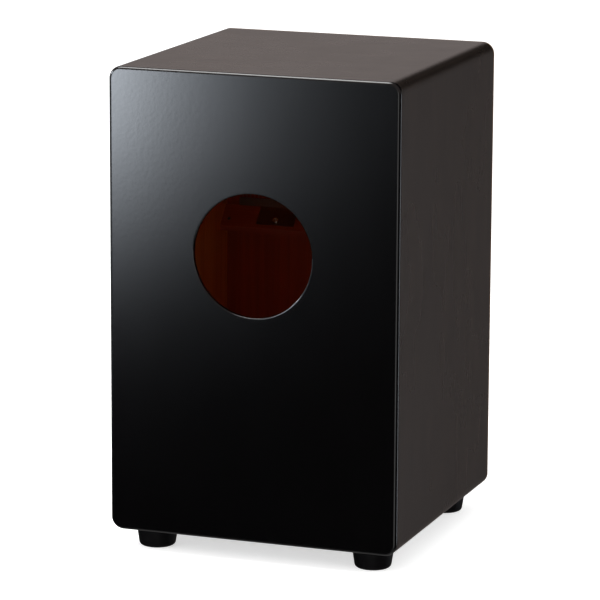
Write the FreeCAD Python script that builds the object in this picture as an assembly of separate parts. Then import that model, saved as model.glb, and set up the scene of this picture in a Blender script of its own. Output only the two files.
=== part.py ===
"""Cajon: a box drum that its player sits on, with wire snares fixed inside against the front plate.

Frame: origin on the floor at the middle of the four feet, +Z up. The thin front plate (the tapa)
faces +Y and the back panel with the sound hole faces -Y. +X is the seated player's right.
Everything is in millimetres. Each node is written to parts/NODE.step.
"""
import FreeCAD
import Part
import math
import os

from FreeCAD import Vector

# ---- body -------------------------------------------------------------------------------------
body_width = 290.0
body_depth = 290.0            # over the front plate and the back panel
body_height = 450.0           # without the feet
wall = 9.0                    # the four boards of the shell
corner_radius = 12.0          # the shell's four long corners
tapa_thickness = 3.0
tapa_edge_radius = 0.8
back_thickness = 5.0
back_edge_radius = 3.0
sound_hole_diameter = 118.0
sound_hole_from_top = 172.5   # its centre, below the seat
sound_hole_edge_radius = 1.2

# ---- glue battens in the four long corners ----------------------------------------------------
batten_leg = 16.0
batten_flat = 2.0             # the blunted long edges
batten_end_gap = 6.0          # short of the front plate and of the back panel

# ---- snare beam -------------------------------------------------------------------------------
beam_from_top = 180.0         # its ridge, below the seat
beam_height = 24.0
beam_depth = 18.0
beam_nose = 5.0               # the upright face below the bevel
beam_ridge = 1.5              # the flat along the top of the bevel
beam_gap = 3.0                # between the beam and the front plate
pin_inset = 7.0               # where a pin enters the bevel, from the side board
pin_down = 12.5               # and how far below the ridge
pin_diameter = 1.8
pin_head_diameter = 3.4
pin_length = 17.0
pin_lean = 45.0               # degrees from the bevel's normal, towards the side board

# ---- snares -----------------------------------------------------------------------------------
snare_side_gap = 15.0         # between a set's bar and the side board
snare_plate_thickness = 0.8
snare_tab_width = 40.0        # the part of the plate that lies on the bevel
snare_tab_length = 21.0
snare_screw_down = 16.0       # its screw, down the bevel from the ridge
snare_bar_height = 8.0        # the wide part of the plate that stands above the ridge
snare_bar_margin = 1.0        # past the outermost strands' own width
snare_clip_depth = 2.2
strand_count = 20
strand_pitch = 4.25
strand_diameter = 1.6         # over the coil
strand_length = 138.0
strand_root_gap = 0.3         # between the clip and the strands, which turn about their roots
strand_tapa_gap = 0.3         # between the strands' tips and the front plate

# ---- feet -------------------------------------------------------------------------------------
foot_height = 21.0
foot_inset = 34.5             # from the shell's sides, and from the front and back
foot_top_diameter = 41.0
foot_bottom_diameter = 34.6   # where the taper meets the rounded rim
foot_rim_radius = 3.6
foot_recess_diameter = 19.0
foot_web = 12.0               # the rubber between the washer and the board
washer_diameter = 16.0
washer_thickness = 1.2

# ---- wood screws ------------------------------------------------------------------------------
tapa_screw = {"shank": 3.0, "length": 20.0, "head": 5.8, "head_height": 1.7, "recess": 2.6}
foot_screw = {"shank": 4.0, "length": 19.0, "head": 8.6, "head_height": 3.0, "recess": 4.0}
snare_screw = {"shank": 3.0, "length": 10.0, "head": 6.6, "head_height": 2.4, "recess": 3.2}
screw_rim = 0.3               # the straight edge of a countersunk head
screw_point = 3.0             # the tapered tip
screw_clearance = 0.05        # all round a shank or a pin, in wood, rubber and steel
recess_share = 0.55           # the cross recess's depth, as a share of the head's height
recess_blade = 0.8
shoulder_share = 0.35         # a pan head's upright edge, as a share of its height
dome_share = 0.25             # and the width of its rounding, as a share of its radius
tapa_screws_across = 4        # in the top and in the bottom edge
tapa_screws_up = 6            # in each side edge
screw_row_end = 38.0          # the first screw of the top and bottom rows, from the side
screw_column_end = 26.0       # the first screw of each side column, from the top or bottom
cut_over = 1.0                # how far a cutting shape runs past the face it opens
same = 1e-6                   # how near two places are to count as one

# ---- places worked out from the sizes above ---------------------------------------------------
half_width = body_width / 2
half_depth = body_depth / 2
shell_bottom = foot_height
shell_top = foot_height + body_height
shell_front = half_depth - tapa_thickness
shell_back = back_thickness - half_depth
inner_half_width = half_width - wall
inner_bottom = shell_bottom + wall
inner_top = shell_top - wall
ridge_z = shell_top - beam_from_top
beam_front = shell_front - beam_gap
beam_back = beam_front - beam_depth
bevel_top = Vector(0, beam_front - beam_ridge, ridge_z)
bevel_foot = Vector(0, beam_back, ridge_z - beam_height + beam_nose)
bevel_down = (bevel_foot - bevel_top).normalize()
bevel_normal = Vector(0, bevel_down.z, -bevel_down.y)     # out of the bevel, into the box
strand_root = Vector(0, bevel_top.y + snare_clip_depth / 2, ridge_z + snare_bar_height + strand_root_gap)
strand_tip_y = shell_front - strand_tapa_gap - strand_diameter / 2
strand_lean = math.asin((strand_tip_y - strand_root.y) / strand_length)
snare_bar_width = strand_count * strand_pitch + 2 * snare_bar_margin
snare_middles = {
    "left": snare_side_gap + snare_bar_width / 2 - inner_half_width,
    "right": inner_half_width - snare_side_gap - snare_bar_width / 2,
}
foot_recess_depth = foot_height - foot_web
foot_screw_seat = foot_recess_depth - washer_thickness

right = Vector(1, 0, 0)
front = Vector(0, 1, 0)
up = Vector(0, 0, 1)
diagonal = math.sqrt(0.5)     # the middle of a quarter arc
parts = {}


# ---- helpers ----------------------------------------------------------------------------------
def outline(points):
    """A closed flat face. A single point is the end of a line, and a pair is an arc's middle and end."""
    edges = []
    here = points[0]
    for step in points[1:] + [points[0]]:
        if isinstance(step, tuple):
            edges.append(Part.Arc(here, step[0], step[1]).toShape())
            here = step[1]
        else:
            edges.append(Part.LineSegment(here, step).toShape())
            here = step
    return Part.Face(Part.Wire(edges))


def turned(points):
    """A solid of revolution about Z from (radius, z) points, or pairs of them for an arc."""
    def flat(step):
        if isinstance(step[0], tuple):
            return flat(step[0]), flat(step[1])
        return Vector(step[0], 0, step[1])
    return outline([flat(step) for step in points]).revolve(Vector(0, 0, 0), up, 360)


def placed(shape, point, z_axis=up):
    """A copy of shape with its own Z turned to z_axis and its origin moved to point."""
    copy = shape.copy()
    copy.Placement = FreeCAD.Placement(point, FreeCAD.Rotation(up, z_axis))
    return copy


def rounded_block(low_y, high_y):
    """The body's outline with its four rounded corners, between two planes."""
    corner = Vector(-half_width, low_y, shell_bottom)
    block = Part.makeBox(body_width, high_y - low_y, body_height, corner)
    long_edges = [e for e in block.Edges if abs(e.Vertexes[0].Y - e.Vertexes[-1].Y) > same]
    return block.makeFillet(corner_radius, long_edges)


def rounded_plate(low_y, high_y, outer_y, edge_radius):
    """A plate of the body's outline, with the edge of its outer face rounded."""
    plate = rounded_block(low_y, high_y)
    rim = [e for e in plate.Edges if all(abs(v.Y - outer_y) < same for v in e.Vertexes)]
    return plate.makeFillet(edge_radius, rim)


# ---- fasteners --------------------------------------------------------------------------------
def cross_recess(size, head_top):
    """The two crossed slots cut into a head whose outer face is at z = head_top."""
    width, depth = size["recess"], size["head_height"] * recess_share
    one = Part.makeBox(width, recess_blade, depth, Vector(-width / 2, -recess_blade / 2, head_top))
    other = Part.makeBox(recess_blade, width, depth, Vector(-recess_blade / 2, -width / 2, head_top))
    return one.fuse(other)


def countersunk_screw(size):
    """A wood screw along +Z whose flat head lies at z = 0."""
    head, shank = size["head"] / 2, size["shank"] / 2
    screw = turned([
        (0, 0), (head, 0), (head, screw_rim), (shank, size["head_height"]),
        (shank, size["length"] - screw_point), (0, size["length"]),
    ])
    return screw.cut(cross_recess(size, 0))


def countersunk_hole(size):
    """What a countersunk screw takes out of the plate it holds, and of the wood behind."""
    head, shank = size["head"] / 2 + screw_clearance, size["shank"] / 2 + screw_clearance
    depth = size["length"] + screw_clearance
    return turned([
        (0, -cut_over), (head, -cut_over), (head, screw_rim + screw_clearance),
        (shank, size["head_height"] + screw_clearance), (shank, depth), (0, depth),
    ])


def pan_screw(size):
    """A wood screw along +Z with its domed head below z = 0 and its shank above."""
    head, shank, high = size["head"] / 2, size["shank"] / 2, size["head_height"]
    shoulder = shoulder_share * high
    dome_wide, dome_high = dome_share * head, high - shoulder
    dome_middle = (head - dome_wide * (1 - diagonal), -shoulder - dome_high * diagonal)
    screw = turned([
        (0, -high), (head - dome_wide, -high), (dome_middle, (head, -shoulder)),
        (head, 0), (shank, 0), (shank, size["length"] - screw_point), (0, size["length"]),
    ])
    return screw.cut(cross_recess(size, -high))


def shank_hole(size, point, axis):
    """The straight hole round a screw's shank, from just outside point along axis."""
    radius = size["shank"] / 2 + screw_clearance
    length = cut_over + size["length"] + screw_clearance
    return Part.makeCylinder(radius, length, point - axis * cut_over, axis)


def tapa_screw_points():
    """Rows along the top and bottom boards' edges, and columns up the side boards' edges."""
    middle = wall / 2
    row_step = (body_width - 2 * screw_row_end) / (tapa_screws_across - 1)
    column_step = (body_height - 2 * screw_column_end) / (tapa_screws_up - 1)
    points = []
    for z in (shell_bottom + middle, shell_top - middle):
        for i in range(tapa_screws_across):
            points.append(Vector(-half_width + screw_row_end + i * row_step, half_depth, z))
    for x in (-half_width + middle, half_width - middle):
        for i in range(tapa_screws_up):
            points.append(Vector(x, half_depth, shell_bottom + screw_column_end + i * column_step))
    return points


def foot_points():
    """Each foot's name and the point on the floor under its middle."""
    points = {}
    for end, y in (("front", half_depth - foot_inset), ("back", foot_inset - half_depth)):
        for side, x in (("left", foot_inset - half_width), ("right", half_width - foot_inset)):
            points["foot_" + end + "_" + side] = Vector(x, y, 0)
    return points


def snare_screw_point(x):
    """Where the screw's head seats on the outer face of a snare plate's tab."""
    on_bevel = bevel_top + bevel_down * snare_screw_down
    return on_bevel + bevel_normal * snare_plate_thickness + right * x


# ---- shell ------------------------------------------------------------------------------------
def section_corners(half, low_z, high_z):
    """An upright rectangle across the shell, from its bottom left corner round to its top left."""
    corners = [(-half, low_z), (half, low_z), (half, high_z), (-half, high_z)]
    return [Vector(x, shell_back, z) for x, z in corners]


def shell_boards(holes):
    """Four boards mitred at the long corners, which are rounded outside."""
    body = rounded_block(shell_back, shell_front)
    outer = section_corners(half_width, shell_bottom, shell_top)
    inner = section_corners(inner_half_width, inner_bottom, inner_top)
    for i, node in enumerate(["bottom_board", "right_side_board", "top_board", "left_side_board"]):
        after = (i + 1) % len(outer)
        section = outline([outer[i], outer[after], inner[after], inner[i]])
        board = section.extrude(front * (shell_front - shell_back)).common(body)
        parts[node] = board.cut(holes)


def corner_battens():
    """Four strips glued into the long corners of the shell."""
    leg, flat = batten_leg, batten_flat
    start, end = shell_back + batten_end_gap, shell_front - batten_end_gap
    for height, z, to_z in (("bottom", inner_bottom, 1), ("top", inner_top, -1)):
        for side, x, to_x in (("left", -inner_half_width, 1), ("right", inner_half_width, -1)):
            corners = [(0, 0), (leg, 0), (leg, flat), (flat, leg), (0, leg)]
            section = outline([Vector(x + to_x * a, start, z + to_z * b) for a, b in corners])
            parts["corner_batten_" + height + "_" + side] = section.extrude(front * (end - start))


# ---- front plate and back panel ---------------------------------------------------------------
def tapa(holes):
    plate = rounded_plate(shell_front, half_depth, half_depth, tapa_edge_radius)
    parts["tapa"] = plate.cut(holes)
    screw = countersunk_screw(tapa_screw)
    screws = [placed(screw, point, front * -1) for point in tapa_screw_points()]
    parts["tapa_screws"] = Part.makeCompound(screws)


def back_panel():
    panel = rounded_plate(-half_depth, shell_back, -half_depth, back_edge_radius)
    radius = sound_hole_diameter / 2
    centre = Vector(0, -half_depth - cut_over, shell_top - sound_hole_from_top)
    panel = panel.cut(Part.makeCylinder(radius, back_thickness + 2 * cut_over, centre, front))
    circles = [e for e in panel.Edges if isinstance(e.Curve, Part.Circle)]
    rims = [e for e in circles if abs(e.Curve.Radius - radius) < same]
    parts["back_panel"] = panel.makeFillet(sound_hole_edge_radius, rims)


# ---- snare beam -------------------------------------------------------------------------------
def beam_pins():
    """Two pins driven askew through the ends of the bevel into the side boards, and the holes they fill."""
    lean = math.radians(pin_lean)
    drop = bevel_down * (pin_down / -bevel_down.z)
    reach = 2 * pin_head_diameter
    shank, head = pin_diameter / 2, pin_head_diameter / 2
    above_bevel = Part.makeBox(2 * reach, 2 * reach, 2 * reach, Vector(-reach, -reach, 0))
    pins, holes = [], []
    for side in (-1, 1):
        start = bevel_top + drop + right * (side * (inner_half_width - pin_inset))
        axis = right * (side * math.sin(lean)) - bevel_normal * math.cos(lean)
        shapes = []
        for extra in (0, screw_clearance):
            rod = Part.makeCylinder(shank + extra, reach + pin_length + extra, start - axis * reach, axis)
            cone = Part.makeCone(head + extra, shank + extra, head - shank + extra, start, axis)
            collar = Part.makeCylinder(head + extra, reach, start - axis * reach, axis)
            shapes.append(rod.fuse([cone, collar]))
        pins.append(shapes[0].cut(placed(above_bevel, start, bevel_normal)).removeSplitter())
        holes.append(shapes[1])
    return pins, holes


def snare_beam(pins, pin_holes):
    """The beam across the box just behind the front plate, bevelled towards the box."""
    low_z = ridge_z - beam_height
    corners = [
        (beam_front, ridge_z), (bevel_top.y, ridge_z), (beam_back, bevel_foot.z), (beam_back, low_z),
        (beam_front, low_z),
    ]
    section = outline([Vector(-inner_half_width, y, z) for y, z in corners])
    screw_holes = []
    for x in snare_middles.values():
        screw_holes.append(shank_hole(snare_screw, snare_screw_point(x), bevel_normal * -1))
    parts["snare_beam"] = section.extrude(right * 2 * inner_half_width).cut(screw_holes + pin_holes)
    parts["beam_pins"] = Part.makeCompound(pins)


# ---- snares -----------------------------------------------------------------------------------
def snare_plate(x):
    """A bent steel T: its tab lies on the bevel, and its wide bar stands above the ridge."""
    t = snare_plate_thickness
    back_y = bevel_top.y - t
    tab_end = bevel_top + bevel_down * snare_tab_length
    outer_end = tab_end + bevel_normal * t
    elbow = outer_end - bevel_down * ((outer_end.y - back_y) / bevel_down.y)
    bar_z = ridge_z + snare_bar_height
    corners = [bevel_top, tab_end, outer_end, elbow, Vector(0, back_y, bar_z), Vector(0, bevel_top.y, bar_z)]
    tab_left = right * (x - snare_tab_width / 2)
    tab = outline([corner + tab_left for corner in corners]).extrude(right * snare_tab_width)
    bar_low = max(elbow.z, ridge_z)
    bar_corner = Vector(x - snare_bar_width / 2, back_y, bar_low)
    bar = Part.makeBox(snare_bar_width, t, bar_z - bar_low, bar_corner)
    plate = tab.fuse(bar).removeSplitter()
    return plate.cut(shank_hole(snare_screw, snare_screw_point(x), bevel_normal * -1))


def snare_clip(x):
    """The bar in front of the plate, on the ridge, that holds the roots of the strands."""
    corner = Vector(x - snare_bar_width / 2, bevel_top.y, ridge_z)
    return Part.makeBox(snare_bar_width, snare_clip_depth, snare_bar_height, corner)


def snare_strands(x):
    """The coiled wires of one set side by side, each as the plain rod that its coil fills."""
    axis = Vector(0, math.sin(strand_lean), math.cos(strand_lean))
    first = x - strand_pitch * (strand_count - 1) / 2
    rods = []
    for i in range(strand_count):
        root = strand_root + right * (first + i * strand_pitch)
        rods.append(Part.makeCylinder(strand_diameter / 2, strand_length, root, axis))
    return Part.makeCompound(rods)


def snares():
    screw = pan_screw(snare_screw)
    for side, x in snare_middles.items():
        parts["snare_plate_" + side] = snare_plate(x)
        parts["snare_clip_" + side] = snare_clip(x)
        parts["snare_strands_" + side] = snare_strands(x)
        parts["snare_screw_" + side] = placed(screw, snare_screw_point(x), bevel_normal * -1)


# ---- feet -------------------------------------------------------------------------------------
def foot():
    """A tapered rubber foot about Z, standing on z = 0, recessed from below for its washer and screw."""
    top, low, rim = foot_top_diameter / 2, foot_bottom_diameter / 2, foot_rim_radius
    recess, shank = foot_recess_diameter / 2, foot_screw["shank"] / 2 + screw_clearance
    rim_middle = (low - rim + rim * diagonal, rim - rim * diagonal)
    return turned([
        (recess, 0), (low - rim, 0), (rim_middle, (low, rim)),
        (top, foot_height), (shank, foot_height), (shank, foot_recess_depth), (recess, foot_recess_depth),
    ])


def feet(points):
    rubber = foot()
    screw = pan_screw(foot_screw)
    hole = Part.makeCylinder(foot_screw["shank"] / 2 + screw_clearance, washer_thickness)
    washer = Part.makeCylinder(washer_diameter / 2, washer_thickness).cut(hole)
    seats = [point + up * foot_screw_seat for point in points.values()]
    for node, point in points.items():
        parts[node] = placed(rubber, point)
    parts["foot_washers"] = Part.makeCompound([placed(washer, seat) for seat in seats])
    parts["foot_screws"] = Part.makeCompound([placed(screw, seat) for seat in seats])


# ---- build and write --------------------------------------------------------------------------
feet_at = foot_points()
pins, pin_holes = beam_pins()
wood_holes = [placed(countersunk_hole(tapa_screw), point, front * -1) for point in tapa_screw_points()]
wood_holes += [shank_hole(foot_screw, point + up * foot_screw_seat, up) for point in feet_at.values()]
shell_boards(wood_holes + pin_holes)
corner_battens()
tapa(wood_holes)
back_panel()
snare_beam(pins, pin_holes)
snares()
feet(feet_at)

os.makedirs("parts", exist_ok=True)
for node, shape in parts.items():
    if not shape.isValid():
        raise RuntimeError(node + " is not a valid shape")
    shape.exportStep("parts/" + node + ".step")
    print(node, len(shape.Solids), "solid(s)", round(shape.Volume / 1000, 2), "cm3")
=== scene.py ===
import math
import bmesh
import bpy
from mathutils import Matrix, Vector


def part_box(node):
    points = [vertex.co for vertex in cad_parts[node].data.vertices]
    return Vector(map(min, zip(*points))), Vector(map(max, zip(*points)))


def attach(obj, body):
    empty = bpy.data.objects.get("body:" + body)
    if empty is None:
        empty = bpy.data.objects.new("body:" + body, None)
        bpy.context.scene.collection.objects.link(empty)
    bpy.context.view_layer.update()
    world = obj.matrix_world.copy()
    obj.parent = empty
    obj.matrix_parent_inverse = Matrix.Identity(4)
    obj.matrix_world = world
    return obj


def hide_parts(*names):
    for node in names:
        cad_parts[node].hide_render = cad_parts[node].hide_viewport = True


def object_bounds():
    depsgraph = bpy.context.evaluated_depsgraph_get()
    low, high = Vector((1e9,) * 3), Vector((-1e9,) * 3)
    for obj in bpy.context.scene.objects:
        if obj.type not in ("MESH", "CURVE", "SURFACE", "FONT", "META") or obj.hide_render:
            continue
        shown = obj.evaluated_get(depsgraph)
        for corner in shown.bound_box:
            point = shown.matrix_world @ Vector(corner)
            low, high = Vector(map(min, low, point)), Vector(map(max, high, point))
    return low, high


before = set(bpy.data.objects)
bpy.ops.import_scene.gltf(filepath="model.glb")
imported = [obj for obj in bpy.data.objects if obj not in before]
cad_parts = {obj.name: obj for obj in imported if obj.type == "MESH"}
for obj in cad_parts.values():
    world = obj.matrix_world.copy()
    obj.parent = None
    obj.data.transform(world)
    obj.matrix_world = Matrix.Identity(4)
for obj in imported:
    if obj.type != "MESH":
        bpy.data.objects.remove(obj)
cadLow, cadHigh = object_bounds()
mm = 0.001
print("frame loaded:", len(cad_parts), "nodes")

bodyLow = Vector((cadLow.x, cadLow.y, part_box("back_panel")[0].z))
bodyHigh = cadHigh
bodyMid = (bodyLow + bodyHigh) / 2
bodyHalf = (bodyHigh - bodyLow) / 2
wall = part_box("snare_beam")[0].x - bodyLow.x          # the beam reaches from board to board


# small helpers for node trees
def addNode(tree, kind, values=None, **settings):
    node = tree.nodes.new(kind)
    for name, value in settings.items():
        setattr(node, name, value)
    for name, value in (values or {}).items():
        if isinstance(value, bpy.types.NodeSocket):
            tree.links.new(value, node.inputs[name])
        else:
            node.inputs[name].default_value = value
    return node


def maths(tree, operation, first, second=0.0, clamp=False):
    node = addNode(tree, "ShaderNodeMath", {0: first, 1: second}, operation=operation, use_clamp=clamp)
    return node.outputs[0]


def mixColour(tree, amount, first, second, blend="MIX"):
    values = {"Factor": amount, 6: first, 7: second}
    node = addNode(tree, "ShaderNodeMix", values, data_type="RGBA", blend_type=blend)
    return node.outputs[2]


def ramp(tree, value, low, high, toLow=0.0, toHigh=1.0):
    values = {"Value": value, "From Min": low, "From Max": high, "To Min": toLow, "To Max": toHigh}
    return addNode(tree, "ShaderNodeMapRange", values, interpolation_type="SMOOTHSTEP").outputs["Result"]


def noise(tree, vector, scale, detail=3.0, roughness=0.55, distortion=0.0):
    values = {"Vector": vector, "Scale": scale, "Detail": detail, "Roughness": roughness,
              "Distortion": distortion}
    return addNode(tree, "ShaderNodeTexNoise", values).outputs["Fac"]


def stretched(tree, vector, scale, place=(0, 0, 0), turn=(0, 0, 0)):
    values = {"Vector": vector, "Scale": scale, "Location": place, "Rotation": turn}
    return addNode(tree, "ShaderNodeMapping", values).outputs["Vector"]


def newGroup(name, inputs, outputs):
    group = bpy.data.node_groups.new(name, "ShaderNodeTree")
    for label, kind, value in inputs:
        socket = group.interface.new_socket(label, in_out="INPUT", socket_type="NodeSocket" + kind)
        if value is not None:
            socket.default_value = value
    for label, kind in outputs:
        group.interface.new_socket(label, in_out="OUTPUT", socket_type="NodeSocket" + kind)
    return group, group.nodes.new("NodeGroupInput").outputs, group.nodes.new("NodeGroupOutput").inputs


def useGroup(tree, group, values):
    node = tree.nodes.new("ShaderNodeGroup")
    node.node_tree = group
    for name, value in values.items():
        if isinstance(value, bpy.types.NodeSocket):
            tree.links.new(value, node.inputs[name])
        else:
            node.inputs[name].default_value = value
    return node.outputs


def makeTimberGroup():
    # wood whose fibres run along Z: broad figure, darker late-wood streaks, fine fibres and open pores
    group, given, result = newGroup(
        "timber",
        [("Vector", "Vector", None), ("Light", "Color", (0.5, 0.3, 0.1, 1)),
         ("Dark", "Color", (0.2, 0.1, 0.05, 1)), ("Figure", "Float", 18.0), ("Fibre", "Float", 420.0),
         ("Pores", "Float", 0.5)],
        [("Color", "Color"), ("Height", "Float"), ("Streaks", "Float")])
    link = group.links.new
    broad = stretched(group, given["Vector"], (1, 1, 0.07))
    figure = noise(group, broad, given["Figure"], detail=4.0, distortion=1.2)
    rings = addNode(group, "ShaderNodeTexWave", {
        "Vector": broad, "Scale": given["Figure"], "Distortion": 9.0, "Detail": 3.0, "Detail Scale": 1.4,
    }, wave_type="BANDS", bands_direction="X").outputs["Fac"]
    fine = stretched(group, given["Vector"], (1, 1, 0.02))
    fibres = noise(group, fine, given["Fibre"], detail=3.0, roughness=0.7)
    poreScale = maths(group, "MULTIPLY", given["Fibre"], 1.7)
    poreLines = noise(group, stretched(group, given["Vector"], (1, 1, 0.05)), poreScale)
    pores = maths(group, "MULTIPLY", ramp(group, poreLines, 0.6, 0.72), given["Pores"])
    body = maths(group, "ADD", maths(group, "MULTIPLY", figure, 0.55), maths(group, "MULTIPLY", rings, 0.25))
    thin = maths(group, "MULTIPLY", ramp(group, fibres, 0.35, 0.65), 0.2)
    streaks = maths(group, "ADD", body, thin, clamp=True)
    dark = maths(group, "SUBTRACT", ramp(group, streaks, 0.25, 0.75), pores, clamp=True)
    link(mixColour(group, dark, given["Dark"], given["Light"]), result["Color"])
    link(maths(group, "SUBTRACT", maths(group, "MULTIPLY", fibres, 0.5), pores), result["Height"])
    link(dark, result["Streaks"])
    return group


def makeEdgeRubGroup():
    # 1 along the body's long and short arrises where handling has rubbed the finish, broken up by noise
    group, given, result = newGroup(
        "edgeRub",
        [("Vector", "Vector", None), ("Centre", "Vector", (0, 0, 0)), ("Half Size", "Vector", (1, 1, 1)),
         ("Width", "Float", 0.004), ("Amount", "Float", 0.5)],
        [("Mask", "Float")])
    places = {0: given["Vector"], 1: given["Centre"]}
    offset = addNode(group, "ShaderNodeVectorMath", places, operation="SUBTRACT")
    size = addNode(group, "ShaderNodeVectorMath", {0: offset.outputs[0]}, operation="ABSOLUTE")
    sizes = {0: given["Half Size"], 1: size.outputs[0]}
    gap = addNode(group, "ShaderNodeVectorMath", sizes, operation="SUBTRACT")
    x, y, z = addNode(group, "ShaderNodeSeparateXYZ", {0: gap.outputs[0]}).outputs
    lower = maths(group, "MINIMUM", x, y)
    upper = maths(group, "MAXIMUM", x, y)
    second = maths(group, "MAXIMUM", lower, maths(group, "MINIMUM", upper, z))
    near = maths(group, "SUBTRACT", 1.0, maths(group, "DIVIDE", second, given["Width"]), clamp=True)
    patches = ramp(group, noise(group, given["Vector"], 70.0, detail=5.0), 0.48, 0.7)
    rubbed = maths(group, "MULTIPLY", maths(group, "MULTIPLY", near, patches), given["Amount"])
    group.links.new(rubbed, result["Mask"])
    return group


def makeHandlingGroup():
    # faint wiped and handled patches, for roughness
    group, given, result = newGroup(
        "handling",
        [("Vector", "Vector", None), ("Smooth", "Float", 0.25), ("Dull", "Float", 0.35),
         ("Scale", "Float", 6.0)],
        [("Roughness", "Float")])
    cloudy = noise(group, given["Vector"], given["Scale"], detail=4.0, distortion=0.4)
    slanted = stretched(group, given["Vector"], (1, 1, 0.25), turn=(0.4, 0.5, 0))
    wiped = noise(group, slanted, 38.0, detail=2.0)
    mixed = maths(group, "ADD", maths(group, "MULTIPLY", cloudy, 0.7), maths(group, "MULTIPLY", wiped, 0.3))
    span = addNode(group, "ShaderNodeMapRange", {
        "Value": mixed, "From Min": 0.3, "From Max": 0.7,
        "To Min": given["Smooth"], "To Max": given["Dull"]})
    group.links.new(span.outputs["Result"], result["Roughness"])
    return group


timberGroup = makeTimberGroup()
edgeRubGroup = makeEdgeRubGroup()
handlingGroup = makeHandlingGroup()


def newMaterial(name):
    material = bpy.data.materials.new(name)
    material.use_nodes = True
    tree = material.node_tree
    shader = tree.nodes["Principled BSDF"]
    place = addNode(tree, "ShaderNodeTexCoord").outputs["Object"]
    return material, tree, shader, place


def bump(tree, shader, height, distance, strength=1.0):
    node = addNode(tree, "ShaderNodeBump", {"Height": height, "Distance": distance, "Strength": strength})
    tree.links.new(node.outputs["Normal"], shader.inputs["Normal"])


def alongGrain(tree, place, axis):
    # turns the pattern so that its Z runs along the board's own grain
    turns = {"X": (0, math.pi / 2, 0), "Y": (math.pi / 2, 0, 0), "Z": (0, 0, 0)}
    return stretched(tree, place, (1, 1, 1), turn=turns[axis])


def splitPlace(tree, place):
    return addNode(tree, "ShaderNodeSeparateXYZ", {0: place}).outputs


def insideBody(tree, place):
    # 1 where a point lies more than half a board inside the body's sides, top and bottom
    x, y, z = splitPlace(tree, place)
    fromSide = maths(tree, "SUBTRACT", bodyHalf.x, maths(tree, "ABSOLUTE", x))
    aboveMid = maths(tree, "ABSOLUTE", maths(tree, "SUBTRACT", z, bodyMid.z))
    fromTop = maths(tree, "SUBTRACT", bodyHalf.z, aboveMid)
    return maths(tree, "GREATER_THAN", maths(tree, "MINIMUM", fromSide, fromTop), wall / 2)


def give(material, *names):
    for name in names:
        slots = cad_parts[name].data.materials
        slots.clear()
        slots.append(material)


# the bare wood inside the box, as two copies of one wood: the boards' copy is lighter and more orange, and
# the darker, redder plate copy used on the front plate and the beam is painted shade
bareWood = dict(boardLight=(0.62, 0.18, 0.021, 1), boardDark=(0.48, 0.12, 0.013, 1),
                plateLight=(0.36, 0.043, 0.006, 1), plateDark=(0.27, 0.030, 0.0045, 1),
                figure=22.0, fibre=420.0, pores=0.18, roughness=0.6)


def bareTimber(tree, vector, shade):
    return useGroup(tree, timberGroup, {
        "Vector": vector, "Light": bareWood[shade + "Light"], "Dark": bareWood[shade + "Dark"],
        "Figure": bareWood["figure"], "Fibre": bareWood["fibre"], "Pores": bareWood["pores"]})


stain = dict(light=(0.0140, 0.0098, 0.0074, 1), dark=(0.0064, 0.0044, 0.0035, 1),
             rubbed=(0.05, 0.036, 0.026, 1), rubWidth=0.005, rubAmount=0.25, pores=0.4, smooth=0.25,
             dull=0.31, figure=130.0, fibre=700.0, relief=0.00004)


def blackStain(name, axis):
    material, tree, shader, place = newMaterial(name)
    grainPlace = alongGrain(tree, place, axis)
    timber = useGroup(tree, timberGroup, {
        "Vector": grainPlace, "Light": stain["light"], "Dark": stain["dark"], "Figure": stain["figure"],
        "Fibre": stain["fibre"], "Pores": stain["pores"]})
    rub = useGroup(tree, edgeRubGroup, {
        "Vector": place, "Centre": bodyMid, "Half Size": bodyHalf, "Width": stain["rubWidth"],
        "Amount": stain["rubAmount"]})["Mask"]
    outside = mixColour(tree, rub, timber["Color"], stain["rubbed"])
    bare = bareTimber(tree, grainPlace, "board")
    inside = insideBody(tree, place)          # the inner faces stay bare
    handled = useGroup(tree, handlingGroup, {
        "Vector": place, "Smooth": stain["smooth"], "Dull": stain["dull"]})
    roughness = addNode(tree, "ShaderNodeMapRange", {
        "Value": inside, "To Min": handled["Roughness"], "To Max": bareWood["roughness"]}).outputs["Result"]
    tree.links.new(mixColour(tree, inside, outside, bare["Color"]), shader.inputs["Base Color"])
    tree.links.new(roughness, shader.inputs["Roughness"])
    bump(tree, shader, timber["Height"], stain["relief"])
    return material


lacquer = dict(deep=(0.0006, 0.0005, 0.0006, 1), worn=(0.0010, 0.0008, 0.0009, 1), smooth=0.14, dull=0.175,
               relief=0.00002)


def blackLacquer(name):
    material, tree, shader, place = newMaterial(name)
    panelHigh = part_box("back_panel")[1]
    innerFace = maths(tree, "GREATER_THAN", splitPlace(tree, place)["Y"], panelHigh.y - 0.6 * mm)
    inside = maths(tree, "MULTIPLY", innerFace, insideBody(tree, place))
    cloud = noise(tree, place, 14.0, detail=4.0)
    painted = mixColour(tree, cloud, lacquer["deep"], lacquer["worn"])
    bare = bareTimber(tree, place, "board")
    handled = useGroup(tree, handlingGroup, {
        "Vector": place, "Smooth": lacquer["smooth"], "Dull": lacquer["dull"], "Scale": 4.0})
    roughness = addNode(tree, "ShaderNodeMapRange", {
        "Value": inside, "To Min": handled["Roughness"], "To Max": bareWood["roughness"]}).outputs["Result"]
    tree.links.new(mixColour(tree, inside, painted, bare["Color"]), shader.inputs["Base Color"])
    tree.links.new(roughness, shader.inputs["Roughness"])
    peel = noise(tree, place, 260.0, detail=1.0)
    bump(tree, shader, peel, lacquer["relief"])
    return material


veneer = dict(light=(0.16, 0.062, 0.024, 1), dark=(0.045, 0.016, 0.007, 1), figure=26.0, fibre=480.0,
              pores=0.7, smooth=0.3, dull=0.4, relief=0.00006,
              thick=0.0006, plyMiddle=0.0013, plyHalf=0.0005,
              plyLight=(0.2, 0.115, 0.055, 1), plyDark=(0.09, 0.045, 0.02, 1))


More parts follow.
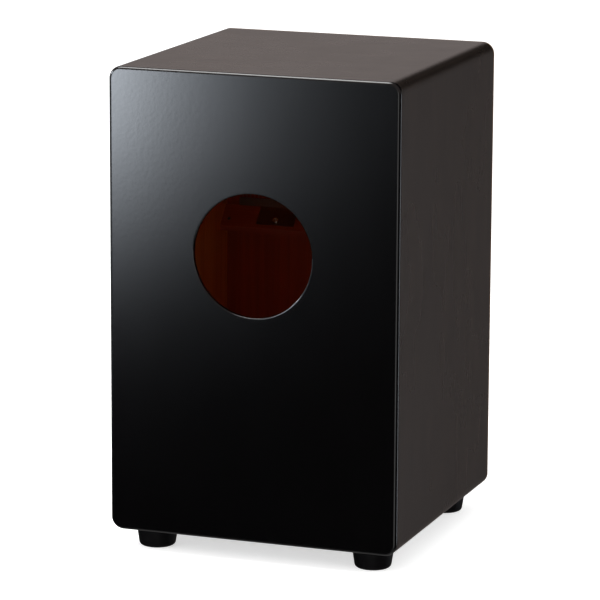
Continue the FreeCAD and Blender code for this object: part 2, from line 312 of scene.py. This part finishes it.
def tapaVeneer(name):
    material, tree, shader, place = newMaterial(name)
    plateLow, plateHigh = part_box("tapa")
    y = splitPlace(tree, place)["Y"]
    timber = useGroup(tree, timberGroup, {
        "Vector": place, "Light": veneer["light"], "Dark": veneer["dark"], "Figure": veneer["figure"],
        "Fibre": veneer["fibre"], "Pores": veneer["pores"]})
    # the plate's inner face takes the darker plate copy of the bare wood, which is painted shade
    bare = bareTimber(tree, place, "plate")
    innerFace = maths(tree, "LESS_THAN", y, plateLow.y + 0.4 * mm)
    inside = maths(tree, "MULTIPLY", innerFace, insideBody(tree, place))
    # the edge shows the plate's three plies under the veneer, the middle one darker end grain
    middle = maths(tree, "ABSOLUTE", maths(tree, "SUBTRACT", y, plateLow.y + veneer["plyMiddle"]))
    crossPly = maths(tree, "LESS_THAN", middle, veneer["plyHalf"])
    endGrain = noise(tree, stretched(tree, place, (1, 6, 1)), 700.0, detail=3.0)
    plies = mixColour(tree, crossPly, veneer["plyLight"], veneer["plyDark"])
    plies = mixColour(tree, maths(tree, "MULTIPLY", endGrain, 0.6), plies, veneer["plyDark"])
    edge = maths(tree, "LESS_THAN", y, plateHigh.y - veneer["thick"])
    outside = mixColour(tree, edge, timber["Color"], plies)
    handled = useGroup(tree, handlingGroup, {
        "Vector": place, "Smooth": veneer["smooth"], "Dull": veneer["dull"]})
    tree.links.new(mixColour(tree, inside, outside, bare["Color"]), shader.inputs["Base Color"])
    tree.links.new(handled["Roughness"], shader.inputs["Roughness"])
    bump(tree, shader, timber["Height"], veneer["relief"])
    return material


def rawTimber(name, axis, shade):
    material, tree, shader, place = newMaterial(name)
    bare = bareTimber(tree, alongGrain(tree, place, axis), shade)
    tree.links.new(bare["Color"], shader.inputs["Base Color"])
    tree.links.new(ramp(tree, bare["Streaks"], 0.0, 1.0, 0.68, 0.5), shader.inputs["Roughness"])
    bump(tree, shader, bare["Height"], 0.00008)
    return material


def metalFinish(name, colour, dull, metallic, roughness, scale=900.0):
    # plated, blackened or drawn steel: fine mottling in colour and roughness
    material, tree, shader, place = newMaterial(name)
    mottle = noise(tree, place, scale, detail=4.0)
    tree.links.new(mixColour(tree, mottle, dull, colour), shader.inputs["Base Color"])
    varied = ramp(tree, mottle, 0.3, 0.7, roughness * 1.3, roughness * 0.8)
    tree.links.new(varied, shader.inputs["Roughness"])
    shader.inputs["Metallic"].default_value = metallic
    bump(tree, shader, mottle, 0.00002)
    return material


rubberLook = dict(plain=(0.0016, 0.0012, 0.0016, 1), dusty=(0.003, 0.0026, 0.003, 1), smooth=0.42, dull=0.55,
                  specular=0.12, relief=0.00006)


def footRubber(name):
    material, tree, shader, place = newMaterial(name)
    grainy = noise(tree, place, 1800.0, detail=2.0)
    dust = ramp(tree, noise(tree, place, 60.0, detail=5.0), 0.5, 0.8)
    colour = mixColour(tree, dust, rubberLook["plain"], rubberLook["dusty"])
    roughness = ramp(tree, grainy, 0.3, 0.7, rubberLook["smooth"], rubberLook["dull"])
    tree.links.new(colour, shader.inputs["Base Color"])
    tree.links.new(roughness, shader.inputs["Roughness"])
    shader.inputs["Specular IOR Level"].default_value = rubberLook["specular"]
    bump(tree, shader, grainy, rubberLook["relief"])
    return material


give(blackStain("blackStainUpright", "Z"), "left_side_board", "right_side_board")
give(blackStain("blackStainAcross", "X"), "top_board", "bottom_board")
give(blackLacquer("blackLacquer"), "back_panel")
give(tapaVeneer("tapaVeneer"), "tapa")
# the beam takes the darker plate copy of the bare wood, which is painted shade
give(rawTimber("rawTimberAcross", "X", "plate"), "snare_beam")
give(rawTimber("rawTimberAlong", "Y", "board"), "corner_batten_bottom_left", "corner_batten_bottom_right",
     "corner_batten_top_left", "corner_batten_top_right")
give(metalFinish("blackScrew", (0.03, 0.03, 0.032, 1), (0.012, 0.012, 0.012, 1), 0.7, 0.4), "tapa_screws")
give(metalFinish("zincPlate", (0.66, 0.64, 0.6, 1), (0.42, 0.4, 0.37, 1), 1.0, 0.22), "snare_screw_left",
     "snare_screw_right", "foot_washers", "foot_screws")
give(metalFinish("darkSteel", (0.12, 0.09, 0.07, 1), (0.05, 0.036, 0.028, 1), 1.0, 0.34), "beam_pins",
     "snare_clip_left", "snare_clip_right")
give(metalFinish("plateSteel", (0.24, 0.19, 0.15, 1), (0.15, 0.115, 0.09, 1), 1.0, 0.36), "snare_plate_left",
     "snare_plate_right")
print("materials made")


def finishPiece(bm, name, body, material, slotName, *replaced, sharp=30):
    mesh = bpy.data.meshes.new(name)
    bm.to_mesh(mesh)
    bm.free()
    mesh.shade_smooth()
    mesh.set_sharp_from_angle(angle=math.radians(sharp))
    mesh.materials.append(material)
    piece = bpy.data.objects.new(name, mesh)
    bpy.context.scene.collection.objects.link(piece)
    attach(piece, body)
    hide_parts(*replaced)
    return piece


def ringEdges(bm, radius, height):
    # the edges of the turned ring that runs round at this radius and height
    def onRing(vert):
        return abs(math.hypot(vert.co.x, vert.co.y) - radius) < 1e-5 and abs(vert.co.z - height) < 1e-5
    return [edge for edge in bm.edges if onRing(edge.verts[0]) and onRing(edge.verts[1])]


def roundEdges(bm, edges, offset, segments):
    bmesh.ops.bevel(bm, geom=edges, offset=offset, segments=segments, profile=0.5, affect="EDGES",
                    material=-1, clamp_overlap=True)


# a moulded rubber foot: tapered, with a rounded tread, a recess for the washer and a bore for the screw
footMould = dict(treadRadius=0.0173, recessRadius=0.0095, web=0.012, boreRadius=0.00205, steps=96,
                 treadRound=0.0032, mouthRound=0.0009, topRound=0.0005, recessRound=0.0012,
                 treadGroove=0.0131, grooveHalf=0.00045, grooveDeep=0.0005)


def makeFoot(node, material):
    low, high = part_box(node)
    topRadius, tall = (high.x - low.x) / 2, high.z - low.z
    bore, recess, tread = footMould["boreRadius"], footMould["recessRadius"], footMould["treadRadius"]
    groove, half, deep = footMould["treadGroove"], footMould["grooveHalf"], footMould["grooveDeep"]
    ceiling = tall - footMould["web"]
    profile = [(bore, tall), (topRadius, tall), (tread, 0), (groove + half, 0), (groove, deep),
               (groove - half, 0), (recess, 0), (recess, ceiling), (bore, ceiling)]
    bm = bmesh.new()
    verts = [bm.verts.new((radius, 0, z)) for radius, z in profile]
    edges = [bm.edges.new((verts[i], verts[(i + 1) % len(verts)])) for i in range(len(verts))]
    bmesh.ops.spin(bm, geom=verts + edges, cent=(0, 0, 0), axis=(0, 0, 1), angle=2 * math.pi,
                   steps=footMould["steps"], use_merge=True)
    roundEdges(bm, ringEdges(bm, tread, 0), footMould["treadRound"], 8)
    roundEdges(bm, ringEdges(bm, topRadius, tall), footMould["topRound"], 3)
    roundEdges(bm, ringEdges(bm, recess, 0), footMould["mouthRound"], 4)
    roundEdges(bm, ringEdges(bm, recess, ceiling), footMould["recessRound"], 4)
    bmesh.ops.recalc_face_normals(bm, faces=bm.faces)
    middle = (low + high) / 2
    bmesh.ops.translate(bm, verts=bm.verts, vec=(middle.x, middle.y, low.z))
    finishPiece(bm, "rubber_" + node, "box", material, "foot_rubber", node, sharp=40)


# one set of coiled snare wires, side by side, each a helix as wide as the rod that it replaces
coil = dict(count=20, rodRadius=0.0008, pitch=0.0013, wireRadius=0.00017, sides=4, stepsPerTurn=8, phase=2.4)


def makeCoil(radius, length):
    # a small ring of wire, swept up round Z
    turns = int(length / coil["pitch"])
    steps = turns * coil["stepsPerTurn"]
    rise = (length - 2 * coil["wireRadius"]) / steps
    bm = bmesh.new()
    thin = coil["wireRadius"]
    ring = bmesh.ops.create_circle(bm, segments=coil["sides"], radius=thin, cap_ends=True)["verts"]
    bmesh.ops.rotate(bm, verts=ring, matrix=Matrix.Rotation(math.pi / 2, 3, "X"))
    bmesh.ops.translate(bm, verts=ring, vec=(radius - thin, 0, thin))
    edges = list(bm.edges)
    swept = bmesh.ops.spin(bm, geom=ring + edges, cent=(0, 0, 0), axis=(0, 0, 1), dvec=(0, 0, rise),
                           angle=turns * 2 * math.pi, steps=steps)["geom_last"]
    bmesh.ops.contextual_create(bm, geom=[item for item in swept if isinstance(item, bmesh.types.BMEdge)])
    bmesh.ops.recalc_face_normals(bm, faces=bm.faces)
    mesh = bpy.data.meshes.new("coil")
    bm.to_mesh(mesh)
    bm.free()
    return mesh


def makeSnareWires(side, material):
    node = "snare_strands_" + side
    low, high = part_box(node)
    radius = coil["rodRadius"]
    length = math.hypot(high.z - low.z, high.y - low.y - 2 * radius)
    lean = math.asin((high.y - low.y - 2 * radius) / length)
    step = (high.x - low.x - 2 * radius) / (coil["count"] - 1)
    one = makeCoil(radius, length)
    bm = bmesh.new()
    for i in range(coil["count"]):
        start = len(bm.verts)
        bm.from_mesh(one)
        bm.verts.ensure_lookup_table()
        strand = bm.verts[start:]
        turn = Matrix.Rotation(-lean, 3, "X") @ Matrix.Rotation(coil["phase"] * i, 3, "Z")
        bmesh.ops.rotate(bm, verts=strand, matrix=turn)
        bmesh.ops.translate(bm, verts=strand, vec=(low.x + radius + i * step, low.y + radius, low.z))
    bpy.data.meshes.remove(one)
    finishPiece(bm, "snare_wires_" + side, "snare_" + side, material, "snare_wire", node, sharp=60)


rubber = footRubber("footRubber")
for node in ("foot_front_left", "foot_front_right", "foot_back_left", "foot_back_right"):
    makeFoot(node, rubber)
wire = metalFinish("snareWire", (0.42, 0.4, 0.38, 1), (0.2, 0.18, 0.16, 1), 1.0, 0.32)
for side in ("left", "right"):
    makeSnareWires(side, wire)
print("feet and snare wires made")


# the studio: white paper underneath, one white sky, softboxes, and cards that only the gloss sees
studio = dict(floorHalf=6.0, floorColour=(0.8, 0.8, 0.8, 1), floorFibre=(0.84, 0.84, 0.84, 1),
              floorGlow=0.6, skySeen=1.1, skyDiffuse=0.9, skyDark=0.012, horizon=0.405,
              horizonColour=(1, 0.87, 0.84, 1), paper=0.3, lowBack=0.125, lowFront=1.8)


def makeFloor():
    bm = bmesh.new()
    bmesh.ops.create_grid(bm, x_segments=1, y_segments=1, size=studio["floorHalf"])
    mesh = bpy.data.meshes.new("floor")
    bm.to_mesh(mesh)
    bm.free()
    floor = bpy.data.objects.new("floor", mesh)
    bpy.context.scene.collection.objects.link(floor)
    material, tree, shader, place = newMaterial("floorPaper")
    fibre = noise(tree, place, 90.0)
    shade = mixColour(tree, fibre, studio["floorColour"], studio["floorFibre"])
    tree.links.new(shade, shader.inputs["Base Color"])
    shader.inputs["Roughness"].default_value = 0.9
    shader.inputs["Emission Color"].default_value = (1, 1, 1, 1)
    toCamera = addNode(tree, "ShaderNodeLightPath").outputs["Is Camera Ray"]
    glow = maths(tree, "MULTIPLY", toCamera, studio["floorGlow"])
    tree.links.new(glow, shader.inputs["Emission Strength"])
    mesh.materials.append(material)
    floor.visible_glossy = False


def areaLight(name, place, aim, width, height, power, gloss=True, colour=(1, 1, 1)):
    data = bpy.data.lights.new(name, "AREA")
    data.shape = "RECTANGLE"
    data.size, data.size_y = width, height
    data.energy = power
    data.color = colour
    lamp = bpy.data.objects.new(name, data)
    lamp.location = place
    lamp.rotation_mode = "QUATERNION"
    lamp.rotation_quaternion = (Vector(aim) - Vector(place)).to_track_quat("-Z", "Y")
    lamp.visible_camera = False
    lamp.visible_glossy = gloss
    bpy.context.scene.collection.objects.link(lamp)
    return lamp


def makeSky():
    # the camera and matt surfaces see white; gloss sees a pale horizon, low glows behind and in front of
    # the box and the paper, with the rest dark
    world = bpy.data.worlds.new("paleStudio")
    bpy.context.scene.world = world
    world.use_nodes = True
    tree = world.node_tree
    background = tree.nodes["Background"]
    rays = addNode(tree, "ShaderNodeLightPath").outputs
    x, y, z = splitPlace(tree, addNode(tree, "ShaderNodeTexCoord").outputs["Generated"])
    darkCorner = maths(tree, "MULTIPLY", ramp(tree, x, -0.28, 0.0), ramp(tree, y, 0.2, 0.5))
    pale = maths(tree, "MULTIPLY", maths(tree, "SUBTRACT", 1.0, darkCorner), ramp(tree, z, 0.0, 0.1))
    horizon = ramp(tree, pale, 0.0, 1.0, studio["skyDark"], studio["horizon"])
    paper = ramp(tree, z, -0.55, -0.75, 0.0, studio["paper"])
    behind = ramp(tree, y, 0.5, 0.8)
    lowBack = maths(tree, "MULTIPLY", behind, ramp(tree, z, 0.17, 0.03, 0.0, studio["lowBack"]))
    across = maths(tree, "MULTIPLY", ramp(tree, x, -0.24, 0.3), ramp(tree, x, 0.6, 0.3))
    upright = maths(tree, "MULTIPLY", ramp(tree, z, -0.6, -0.2),
                    ramp(tree, z, 0.12, -0.05, 0.0, studio["lowFront"]))
    lowFront = maths(tree, "MULTIPLY", maths(tree, "MULTIPLY", across, upright), ramp(tree, y, -0.4, -0.8))
    low = maths(tree, "ADD", lowBack, lowFront)
    glossSees = maths(tree, "ADD", maths(tree, "ADD", horizon, paper), low)
    seen = maths(tree, "MULTIPLY", rays["Is Camera Ray"], studio["skySeen"])
    diffuse = maths(tree, "MULTIPLY", rays["Is Diffuse Ray"], studio["skyDiffuse"])
    gloss = maths(tree, "MULTIPLY", rays["Is Glossy Ray"], glossSees)
    strength = maths(tree, "ADD", maths(tree, "ADD", seen, diffuse), gloss)
    tree.links.new(strength, background.inputs["Strength"])
    warm = maths(tree, "MULTIPLY", maths(tree, "MAXIMUM", pale, behind), rays["Is Glossy Ray"])
    tree.links.new(mixColour(tree, warm, (1, 1, 1, 1), studio["horizonColour"]), background.inputs["Color"])


def glossCard(name, corner, across, up, colour, strength):
    # a flat card that only reflections see; strength(tree, place) gives its glow over the surface
    bm = bmesh.new()
    bmesh.ops.create_grid(bm, x_segments=1, y_segments=1, size=0.5)
    bmesh.ops.translate(bm, verts=bm.verts, vec=(0.5, 0.5, 0))
    across, up = Vector(across), Vector(up)
    square = Matrix((across, up, across.cross(up))).transposed().to_4x4()
    bmesh.ops.transform(bm, verts=bm.verts, matrix=Matrix.Translation(corner) @ square)
    mesh = bpy.data.meshes.new(name)
    bm.to_mesh(mesh)
    bm.free()
    card = bpy.data.objects.new(name, mesh)
    bpy.context.scene.collection.objects.link(card)
    material, tree, shader, place = newMaterial(name)
    glow = addNode(tree, "ShaderNodeEmission", {"Color": colour, "Strength": strength(tree, place)})
    tree.nodes.remove(shader)
    tree.links.new(glow.outputs[0], tree.nodes["Material Output"].inputs["Surface"])
    mesh.materials.append(material)
    card.visible_camera = False
    card.visible_diffuse = False
    card.visible_shadow = False


# the card that the back panel mirrors: bright at its upper left, fading right, downwards and at its end
panelCard = dict(peak=17.0, peakX=-0.60, peakZ=0.33, foldX=0.080, foldZ=0.182, endX=-0.88, fullX=-0.7)


def panelGlow(tree, place):
    x, y, z = splitPlace(tree, place)
    right = maths(tree, "MAXIMUM", maths(tree, "DIVIDE", maths(tree, "SUBTRACT", x, panelCard["peakX"]),
                                         panelCard["foldX"]), 0.0)
    down = maths(tree, "MAXIMUM", maths(tree, "DIVIDE", maths(tree, "SUBTRACT", panelCard["peakZ"], z),
                                        panelCard["foldZ"]), 0.0)
    fall = maths(tree, "ADD", right, maths(tree, "MULTIPLY", down, down))
    peak = ramp(tree, x, panelCard["endX"], panelCard["fullX"], 0.0, panelCard["peak"])
    faded = maths(tree, "EXPONENT", maths(tree, "MULTIPLY", fall, -1.0))
    return maths(tree, "MULTIPLY", faded, peak)


def fadedGlow(peak, axis, dim, bright):
    # a card whose glow rises from 0 at one place along an axis to its peak at another
    def glow(tree, place):
        return ramp(tree, splitPlace(tree, place)[axis], dim, bright, 0.0, peak)
    return glow


shot = dict(azimuth=20.03, elevation=11.93, distance=3.6, sensor=36.0, lens=221.4, roll=0.0051,
            across=-0.0047, rise=-0.0068)


def makeCamera():
    data = bpy.data.cameras.new("camera")
    data.sensor_width = shot["sensor"]
    data.lens = shot["lens"]
    data.clip_start, data.clip_end = 0.05, 50.0
    camera = bpy.data.objects.new("camera", data)
    a, e = math.radians(shot["azimuth"]), math.radians(shot["elevation"])
    back = Vector((math.sin(a) * math.cos(e), -math.cos(a) * math.cos(e), math.sin(e)))
    level = (-back).to_track_quat("-Z", "Y").to_matrix()
    aim = (cadLow + cadHigh) / 2 + level @ Vector((shot["across"], shot["rise"], 0))
    camera.location = aim + back * shot["distance"]
    camera.rotation_mode = "QUATERNION"
    camera.rotation_quaternion = (level @ Matrix.Rotation(shot["roll"], 3, "Z")).to_quaternion()
    bpy.context.scene.collection.objects.link(camera)
    bpy.context.scene.camera = camera


makeFloor()
makeSky()
makeCamera()
areaLight("overheadSoftbox", (-0.6, -0.5, 2.2), (0, 0, 0.3), 1.2, 1.2, 45)
areaLight("panelSoftbox", (-0.75, -1.0, 0.62), (-0.1, -0.145, 0.4), 0.5, 0.6, 6, gloss=False)
areaLight("rightFill", (1.6, -0.4, 0.5), (0.1, 0, 0.25), 0.8, 1.0, 6, gloss=False)
cool = (0.845, 0.912, 1.0, 1)
glossCard("panelCard", (-0.9, -1.2, -0.4), (0.85, 0, 0), (0, 0, 0.95), cool, panelGlow)
glossCard("leftCard", (-1.35, -1.0, -0.5), (0, 0.3, 0), (0, 0, 1.0), cool, fadedGlow(3.0, "Z", -0.4, 0.05))
glossCard("rimCard", (-1.35, -0.95, 0.58), (0, 0.6, 0), (0, 0, 0.3), cool, fadedGlow(24.0, "Y", -0.3, -0.6))
glossCard("rightCard", (0.95, 0.3, -0.3), (0, 0.35, 0), (0, 0, 0.75), cool, fadedGlow(4.5, "Y", 0.3, 0.42))
bpy.context.scene.view_settings.view_transform = "Standard"
print("studio made")
